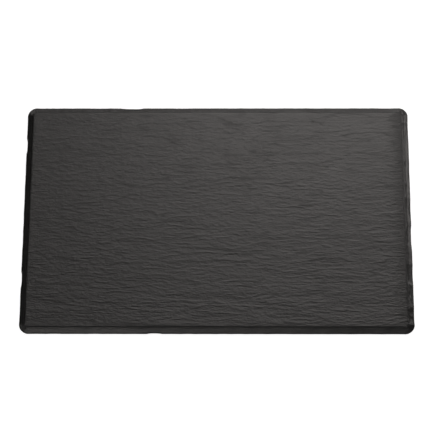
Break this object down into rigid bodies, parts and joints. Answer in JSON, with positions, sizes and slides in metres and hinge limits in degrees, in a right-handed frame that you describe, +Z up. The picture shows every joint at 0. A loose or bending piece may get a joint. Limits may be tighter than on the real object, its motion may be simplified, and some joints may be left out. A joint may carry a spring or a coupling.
{
  "type": "serving platter",
  "caption": "Flat rectangular slate-effect melamine serving platter with a hewn, chipped edge and a hollow underside, standing on push-in silicone feet.",
  "frame": {"origin": "centre of the footprint, on the surface that the platter stands on", "axes": "+X to the right along the long side, +Y to the rear, +Z up out of the serving face"},
  "size_m": [0.53, 0.325, 0.012],
  "materials": {
    "slate_melamine": "satin, with a fine riven slate grain",
    "silicone": "matt"
  },
  "bodies": {
    "root": {"platter_shell": "slate_melamine", "foot_front_left": "silicone", "foot_front_centre": "silicone", "foot_front_right": "silicone", "foot_rear_left": "silicone", "foot_rear_centre": "silicone", "foot_rear_right": "silicone"}
  },
  "joints": []
}
